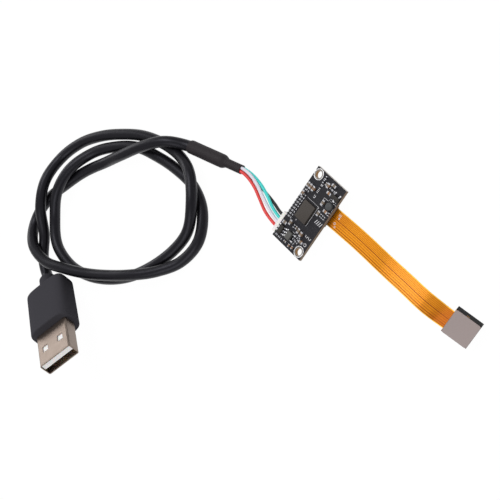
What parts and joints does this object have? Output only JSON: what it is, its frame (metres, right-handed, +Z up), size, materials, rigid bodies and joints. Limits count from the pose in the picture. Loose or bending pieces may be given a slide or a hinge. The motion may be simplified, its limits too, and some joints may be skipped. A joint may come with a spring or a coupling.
{
  "type": "camera module",
  "caption": "Small control board with a camera head on a flat flexible strip and a cable ending in a USB type A plug.",
  "frame": {"origin": "on the floor, under the middle of the board, strip and camera head taken together", "axes": "+X along the flat strip from the board to the camera head, +Y along the board's long side, +Z up"},
  "size_m": [0.1572, 0.1009, 0.0216],
  "materials": {
    "board": "satin",
    "tin": "satin",
    "chip": "matte",
    "dark_part": "matte",
    "ceramic": "matte",
    "white_plastic": "matte",
    "contact": "satin",
    "strip": "gloss",
    "steel": "satin",
    "sensor": "gloss",
    "lens": "gloss",
    "black_plastic": "matte",
    "red_skin": "gloss",
    "white_skin": "gloss",
    "green_skin": "gloss",
    "black_skin": "gloss",
    "shrink": "matte",
    "cable_skin": "satin",
    "grip": "satin",
    "shell": "satin"
  },
  "bodies": {
    "root": {"pcb": "board", "hole_plating": "tin", "main_chip": "chip", "power_coil": "dark_part", "regulator": "dark_part", "regulator_leads": "tin", "line_guard": "dark_part", "line_guard_leads": "tin", "transistor": "dark_part", "transistor_leads": "tin", "capacitor_bodies": "ceramic", "capacitor_ends": "tin", "resistor_bodies": "dark_part", "resistor_ends": "tin", "wire_header": "white_plastic", "header_pins": "contact", "wire_housing": "white_plastic", "crimp_contacts": "contact", "strip_socket": "black_plastic", "strip_plug": "black_plastic", "socket_contacts": "contact", "strip_stiffener": "strip", "flat_strip": "strip", "head_plate": "steel", "head_flex": "strip", "image_sensor": "sensor", "infrared_filter": "lens", "lens_holder": "black_plastic", "lens_barrel": "black_plastic", "front_lens": "lens", "inner_lens": "lens", "wire_red": "red_skin", "wire_white": "white_skin", "wire_green": "green_skin", "wire_black": "black_skin", "heat_shrink": "shrink", "usb_cable": "cable_skin", "plug_grip": "grip", "plug_shell": "shell", "plug_insulator": "white_plastic", "plug_contacts": "contact"}
  },
  "joints": []
}
